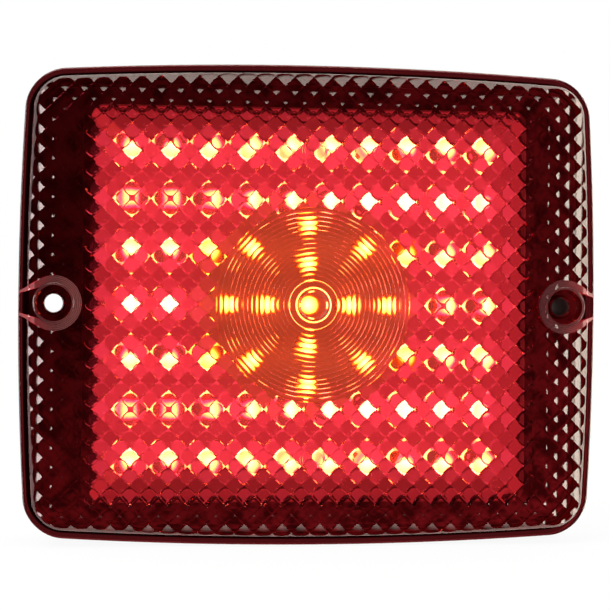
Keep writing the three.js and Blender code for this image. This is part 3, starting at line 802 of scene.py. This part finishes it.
def turned_lines_and_painted_shade(nodes, x, outwards, radius):
    """Fine turning lines, with painted shade: darker towards the left of each pad, as if lit from the right.
    """
    lines = nodes.math("SINE", nodes.math("MULTIPLY", radius, TURNING_LINES))
    lines = nodes.math("MULTIPLY_ADD", lines, 0.5, 0.5)
    colour = nodes.mix(lines, (0.15, 0.03, 0.03), (0.34, 0.10, 0.09))
    # Painted shade: the left side of each pad is darkened, as if the light fell on its right side.
    rightwards = nodes.math("MULTIPLY", outwards, nodes.math("SIGN", x))
    lit_side = nodes.fade(rightwards, -7 * MM, 5 * MM, 0.1)
    colour = nodes.mix(lit_side, (0.06, 0.01, 0.014), colour)
    return nodes.add("ShaderNodeBsdfPrincipled", {
        "Base Color": colour, "Roughness": 0.4, "Specular IOR Level": 0.25}).outputs[0]


def leg_mask(nodes, outwards, radius, y, z):
    """The two legs that run from the round of a pad to the lens edge, growing stronger outwards."""
    corner_x = BOSS_RADIUS * math.cos(TEARDROP_START)
    corner_z = BOSS_RADIUS * math.sin(TEARDROP_START)
    slope = (corner_z - TIP_HALF_WIDTH) / (HALF_WIDTH - HOLE_X - corner_x)
    reach = nodes.math("MULTIPLY_ADD", outwards, slope, nodes.math("ABSOLUTE", z))
    before_corner = nodes.math("LESS_THAN", outwards, corner_x * MM)
    off_pad = nodes.math("GREATER_THAN", radius, (BOSS_RADIUS + 0.05) * MM)
    return nodes.product(
        nodes.math("LESS_THAN", reach, (corner_z + slope * corner_x + 0.1) * MM),
        nodes.math("LESS_THAN", y, -(RIM_TOP + 0.2) * MM),
        nodes.math("GREATER_THAN", radius, (TUBE_RADIUS + 0.1) * MM),
        nodes.math("SUBTRACT", 1.0, nodes.product(before_corner, off_pad)),
        nodes.fade(outwards, 0, 5 * MM))


def lens_material():
    """Polished acrylic; the pads round the screw holes are turned, and their legs lit from inside."""
    material, nodes = new_material("red_acrylic")
    place, x, y, z = nodes.place()
    outwards = nodes.math("SUBTRACT", nodes.math("ABSOLUTE", x), HOLE_X * MM)
    radius = nodes.distance(outwards, z)
    polished = polished_acrylic(nodes, place)
    glow = nodes.add("ShaderNodeEmission", {"Color": (0.5, 0.01, 0.02, 1), "Strength": LEG_GLOW})
    lit = nodes.add("ShaderNodeAddShader", {0: polished, 1: glow.outputs[0]}).outputs[0]
    body = nodes.blend(leg_mask(nodes, outwards, radius, y, z), polished, lit)
    on_pad = nodes.product(nodes.math("LESS_THAN", radius, (BOSS_RADIUS + 0.05) * MM),
                           nodes.math("LESS_THAN", y, -(LAND_TOP - 0.25) * MM), FROST)
    nodes.end(nodes.blend(on_pad, body, turned_lines_and_painted_shade(nodes, x, outwards, radius)))
    return material


def diode_material(name, colours, powers):
    """A lit epoxy dome: the bright spot sits where the die is seen, and shifts with the view. Most of
    the light is thrown forward; the sides only glow."""
    material, nodes = new_material(name)
    geometry = nodes.add("ShaderNodeNewGeometry")
    in_plane = (1, 0, 1)
    normal = nodes.vector("MULTIPLY", geometry.outputs["Normal"], in_plane)
    view = nodes.vector("MULTIPLY", geometry.outputs["Incoming"], in_plane)
    lean = nodes.vector("MULTIPLY", view, (LEAN, LEAN, LEAN))
    miss = nodes.vector("LENGTH", nodes.vector("SUBTRACT", normal, lean), output="Value")
    ahead = nodes.vector("DOT_PRODUCT", geometry.outputs["Incoming"], (0, -1, 0), output="Value")
    _, depth, _ = nodes.add("ShaderNodeSeparateXYZ", {0: geometry.outputs["Position"]}).outputs
    forward = nodes.product(nodes.fade(ahead, 0.25, 0.65),
                            nodes.math("LESS_THAN", depth, -(BOARD_FRONT + 3) * MM))
    colour = nodes.ramp(miss, list(zip(STOPS, colours)))
    power = nodes.ramp(miss, [(stop, (value,) * 3) for stop, value in zip(STOPS, powers)])
    strength = nodes.math("MULTIPLY_ADD", nodes.product(power, forward), LED_POWER, SIDE_POWER)
    emission = nodes.add("ShaderNodeEmission", {"Color": colour, "Strength": strength}).outputs[0]
    coat = nodes.add("ShaderNodeBsdfGlossy", {"Color": (0.05, 0.05, 0.05, 1), "Roughness": 0.15})
    nodes.end(nodes.add("ShaderNodeAddShader", {0: emission, 1: coat.outputs[0]}).outputs[0])
    return material


def board_material():
    """White solder mask with a copper track along every row of diodes, and the light they throw on it."""
    material, nodes = new_material("board_mask")
    place, x, _, z = nodes.place()
    across, along = nodes.math("ABSOLUTE", x), nodes.math("ABSOLUTE", z)
    patches = nodes.noise(place, 45.0)
    pale = nodes.mix(nodes.noise(place, 260.0, 6.0), (0.72, 0.66, 0.62), (0.86, 0.82, 0.78))
    colour = nodes.mix(patches, pale, (0.6, 0.5, 0.46))
    row = nodes.math("DIVIDE", z, ROW_PITCH * MM)
    from_row = nodes.math("ABSOLUTE", nodes.math("SUBTRACT", row, nodes.math("ROUND", row)))
    track_edge = nodes.product(nodes.math("COMPARE", from_row, TRACK_HALF_WIDTH, 0.012),
                               nodes.math("LESS_THAN", across, 49 * MM))
    colour = nodes.mix(track_edge, colour, (0.45, 0.4, 0.34))

    star = nodes.fade(nodes.distance(x, z), STAR_RADIUS * MM, (STAR_RADIUS + 8) * MM, 1.0, 0.0)
    column = nodes.math("ADD", nodes.math("DIVIDE", x, LED_PITCH * MM), 0.5)
    from_column = nodes.math("SUBTRACT", column, nodes.math("ROUND", column))
    to_diode = nodes.distance(nodes.product(from_column, LED_PITCH), nodes.product(from_row, ROW_PITCH))
    pool = nodes.product(nodes.fade(to_diode, 2.6, 6.8, 1.0, 0.0, "SMOOTHERSTEP"),
                         nodes.math("SUBTRACT", 1.0, star))
    glow = nodes.mix(pool, (1.0, 0.36, 0.44), (1.0, 0.46, 0.66))
    glow = nodes.mix(star, glow, (0.75, 0.85, 0.25))
    ripple = nodes.math("COSINE", nodes.math("MULTIPLY", row, math.tau))
    ripple = nodes.math("MULTIPLY_ADD", ripple, 0.14, 0.78)
    level = nodes.product(
        nodes.fade(across, 46 * MM, 55 * MM, 1.0, 0.5), nodes.fade(along, 38 * MM, 47 * MM, 1.0, 0.4),
        nodes.math("MULTIPLY_ADD", patches, 0.25, ripple), nodes.math("MULTIPLY_ADD", pool, 0.6, 0.85),
        BOARD_GLOW)
    nodes.end(nodes.add("ShaderNodeBsdfPrincipled", {
        "Base Color": colour, "Roughness": 0.35, "Emission Color": glow,
        "Emission Strength": level}).outputs[0])
    return material


def grained(name, colour, roughness, grain_size, bump_depth=0.00005, metallic=0.0, stretch=(1, 1, 1)):
    """Plastic, rubber or metal: mottled colour, uneven gloss and a fine grain, which stretch draws out."""
    material, nodes = new_material(name)
    place = nodes.add("ShaderNodeTexCoord").outputs["Object"]
    fine = nodes.noise(nodes.vector("MULTIPLY", place, stretch), 1 / grain_size, 5.0)
    stains = nodes.noise(place, 70.0, 3.0)
    darker = tuple(c * 0.7 for c in colour)
    lighter = tuple(c * 1.15 + 0.006 for c in colour)
    mottle = nodes.math("MULTIPLY_ADD", stains, 0.6, nodes.math("MULTIPLY", fine, 0.4))
    bump = nodes.add("ShaderNodeBump", {"Height": fine, "Distance": bump_depth})
    rough = nodes.math("MULTIPLY_ADD", fine, 0.15, roughness - 0.22)
    surface = nodes.add("ShaderNodeBsdfPrincipled", {
        "Base Color": nodes.mix(mottle, darker, lighter), "Metallic": metallic,
        "Roughness": nodes.math("MULTIPLY_ADD", stains, 0.3, rough), "Normal": bump.outputs[0]})
    nodes.end(surface.outputs[0])
    return material


def light_up(material, colour, strength=0.0):
    """Gives a plain material a light of its own; returns where a pattern of strength can be linked."""
    surface = material.node_tree.nodes["Principled BSDF"].inputs
    surface["Emission Color"].default_value = (*colour, 1)
    surface["Emission Strength"].default_value = strength
    return surface["Emission Strength"]


def add_spill(material):
    """Red light from the diodes: strong on the walls round the board, faint and patchy on the ledge."""
    nodes = Nodes(material, start_empty=False)
    place, x, y, z = nodes.place()
    across, along = nodes.math("ABSOLUTE", x), nodes.math("ABSOLUTE", z)
    ledge = nodes.math("MULTIPLY_ADD", x, 0.4, nodes.math("MULTIPLY_ADD", along, 0.73, 0.05))
    ledge = nodes.product(
        nodes.math("MULTIPLY_ADD", z, -0.64, ledge), nodes.fade(nodes.noise(place, 260.0), 0.38, 0.62, 0.25),
        nodes.math("LESS_THAN", y, -(LEDGE_TOP - 0.5) * MM))
    # The end walls are lit 4 mm less high than the side walls.
    at_end = nodes.math("GREATER_THAN", along, (WELL_HALF_HEIGHT - 0.3) * MM)
    depth = nodes.math("MULTIPLY_ADD", at_end, -4 * MM, y)
    wall = nodes.product(
        nodes.math("LESS_THAN", across, (WELL_HALF_WIDTH + 0.1) * MM),
        nodes.math("LESS_THAN", along, (WELL_HALF_HEIGHT + 0.1) * MM),
        nodes.fade(depth, -22 * MM, -18.5 * MM), nodes.math("LESS_THAN", y, -9 * MM), WALL_GLOW)
    nodes.tree.links.new(nodes.math("ADD", ledge, wall), light_up(material, (1.0, 0.35, 0.38)))


def banded(name, colour, bands, roughness):
    """A lacquered part with colour bands round it; bands are (place along its length, colour)."""
    material, nodes = new_material(name)
    coords = nodes.add("ShaderNodeTexCoord").outputs
    along = nodes.add("ShaderNodeSeparateXYZ", {0: coords["Generated"]}).outputs[0]
    shade = nodes.mix(nodes.noise(coords["Object"], 900.0), tuple(c * 0.85 for c in colour), colour)
    for place, band in bands:
        shade = nodes.mix(nodes.math("COMPARE", along, place, 0.022), shade, band)
    from_middle = nodes.math("ABSOLUTE", nodes.math("SUBTRACT", along, 0.5))
    on_lead = nodes.math("GREATER_THAN", from_middle, 0.36)
    surface = nodes.add("ShaderNodeBsdfPrincipled", {
        "Base Color": nodes.mix(on_lead, shade, (0.5, 0.5, 0.5)), "Roughness": roughness,
        "Metallic": on_lead})
    nodes.end(surface.outputs[0])
    return material


# ---- Stage


def build_world():
    """Plain white to the eye and to matt surfaces. The polished lens mirrors a dark window ahead of
    it, with lit panels to the left, right, top and bottom, and a dimmer white room behind."""
    world = bpy.data.worlds.new("studio")
    scene.world = world
    nodes = Nodes(world)
    ray = nodes.add("ShaderNodeLightPath").outputs
    direction = nodes.add("ShaderNodeTexCoord").outputs["Generated"]
    right, back, up = nodes.add("ShaderNodeSeparateXYZ", {0: direction}).outputs
    left = nodes.math("MULTIPLY", right, -1.0)
    down = nodes.math("MULTIPLY", up, -1.0)

    def above(value, edge, width=0.03):
        return nodes.fade(value, edge - width, edge + width, curve="SMOOTHSTEP")

    def background(colour, strength):
        return nodes.add("ShaderNodeBackground", {"Color": colour, "Strength": strength}).outputs[0]

    beside = nodes.product(above(up, -0.45, 0.05), above(down, -0.68, 0.05))
    streak = nodes.ramp(right, [(place, (level,) * 3) for place, level in (
        (0.0, 1.0), (0.80, 1.0), (0.83, 0.35), (0.86, 0.75), (1.0, 0.7))])
    brightest = nodes.product(above(left, 0.65), beside, 15.0)
    for panel in (nodes.product(above(right, 0.68), beside, streak, 15.0),
                  nodes.product(above(up, 0.66), 5.5),
                  nodes.product(above(down, 0.78, 0.08), 3.5)):
        brightest = nodes.math("MAXIMUM", brightest, panel)
    room = nodes.math("MULTIPLY_ADD", up, 0.9, nodes.math("MULTIPLY_ADD", right, 0.6, 2.6))
    seen = nodes.add("ShaderNodeMix", {0: above(back, -0.25, 0.1), 2: brightest, 3: room}).outputs[0]
    rightness = nodes.math("MULTIPLY_ADD", right, 0.6, 0.5)
    warmth = nodes.mix(rightness, (1.0, 0.80, 0.79), (1.0, 0.88, 0.74))

    polished = nodes.product(ray["Is Singular Ray"], ray["Is Glossy Ray"])
    look = nodes.blend(polished, background((1, 0.98, 0.96, 1), 0.7), background(warmth, seen))
    look = nodes.blend(ray["Is Transmission Ray"], look, background((1, 0.9, 0.85, 1), 0.07))
    look = nodes.blend(ray["Is Camera Ray"], look, background((1, 1, 1, 1), 1.0))
    nodes.end(look, "ShaderNodeOutputWorld")


def build_camera():
    camera = bpy.data.objects.new("camera", bpy.data.cameras.new("camera"))
    camera.data.lens = FOCAL_LENGTH
    camera.data.shift_x = SHIFT_X
    camera.data.sensor_width = 36
    turn = (TARGET - EYE).to_track_quat("-Z", "Y").to_matrix().to_4x4()
    roll = Matrix.Rotation(math.radians(ROLL), 4, "Z")
    camera.matrix_world = Matrix.Translation(EYE) @ turn @ roll
    scene.collection.objects.link(camera)
    scene.camera = camera


def build_floor():
    half = 1500.0
    level = -HALF_HEIGHT - 0.05
    floor = new_object("floor", [(-half, level, -half), (half, level, -half),
                                 (half, level, half), (-half, level, half)], [(0, 3, 2, 1)])
    material, nodes = new_material("pale_floor")
    glow = nodes.add("ShaderNodeEmission", {"Color": (1, 1, 1, 1), "Strength": 0.93}).outputs[0]
    matt = nodes.add("ShaderNodeBsdfDiffuse", {"Color": (0.1, 0.1, 0.1, 1)}).outputs[0]
    nodes.end(nodes.add("ShaderNodeAddShader", {0: glow, 1: matt}).outputs[0])
    floor.data.materials.append(material)
    floor.visible_glossy = False
    floor.visible_transmission = False


def build_key_light():
    lamp = bpy.data.lights.new("key_light", "AREA")
    lamp.size = 0.6
    lamp.energy = 4
    holder = bpy.data.objects.new("key_light", lamp)
    holder.location = (-0.6, -0.7, 0.8)
    holder.rotation_euler = holder.location.to_track_quat("Z", "Y").to_euler()
    holder.visible_glossy = False
    holder.visible_camera = False
    scene.collection.objects.link(holder)


# ---- The whole lamp


def build_diodes():
    red = diode_material("lit_red_diode", RED_COLOURS, RED_POWERS)
    amber = diode_material("lit_amber_diode", AMBER_COLOURS, AMBER_POWERS)
    for node in sorted(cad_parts):
        if node.startswith("red_led_row"):
            diode_row(node.replace("led", "diodes"), node, red)
        elif node.startswith("amber_led"):
            diode_row(node.replace("led", "diode"), node, amber)


def build_body():
    """Everything but the lens and the diodes."""
    rubber = grained("black_rubber", (0.02, 0.02, 0.02), 0.7, 0.0006)
    foam = grained("foam_rubber", (0.035, 0.035, 0.035), 0.95, 0.0004, 0.0003)
    black = grained("black_plastic", (0.014, 0.013, 0.013), 0.42, 0.0009, 0.0001)
    zinc = grained("zinc_plate", (0.6, 0.6, 0.62), 0.32, 0.0007, 0.00002, 1.0)
    steel = grained("turned_steel", (0.32, 0.13, 0.11), 0.72, 0.0004, 0.00003, 0.45, (0.03, 1, 0.03))
    tin = grained("tinned_copper", (0.65, 0.62, 0.58), 0.3, 0.0003, 0.0001, 1.0, (1, 0.2, 1))
    vinyl = grained("cable_vinyl", (0.018, 0.018, 0.018), 0.5, 0.0008, 0.00008, 0.0, (1, 0.15, 1))
    sleeve = grained("capacitor_sleeve", (0.02, 0.03, 0.07), 0.35, 0.001)
    lacquer = banded("resistor_lacquer", (0.62, 0.45, 0.28),
                     [(0.3, (0.3, 0.02, 0.02)), (0.4, (0.03, 0.02, 0.02)), (0.5, (0.25, 0.1, 0.03)),
                      (0.68, (0.6, 0.4, 0.1))], 0.4)
    epoxy = banded("diode_epoxy", (0.02, 0.02, 0.02), [(0.66, (0.6, 0.6, 0.6))], 0.3)
    add_spill(black)
    # Painted red light from the diodes: the zinc screw heads glow faintly.
    light_up(zinc, (1.0, 0.4, 0.42), ZINC_GLOW)
    build_housing(black)
    build_seals(rubber, foam)
    build_fastenings(zinc, steel)
    build_board(board_material())
    build_back_parts(lacquer, epoxy, sleeve)
    build_cable(vinyl, rubber, tin)


build_camera()
build_world()
build_floor()
build_key_light()
build_lens()
build_diodes()
build_body()

scene.view_settings.view_transform = "Standard"
scene.cycles.use_denoising = True
scene.cycles.caustics_reflective = False
scene.cycles.caustics_refractive = False
scene.cycles.max_bounces = 14
scene.cycles.transmission_bounces = 10
scene.cycles.diffuse_bounces = 3
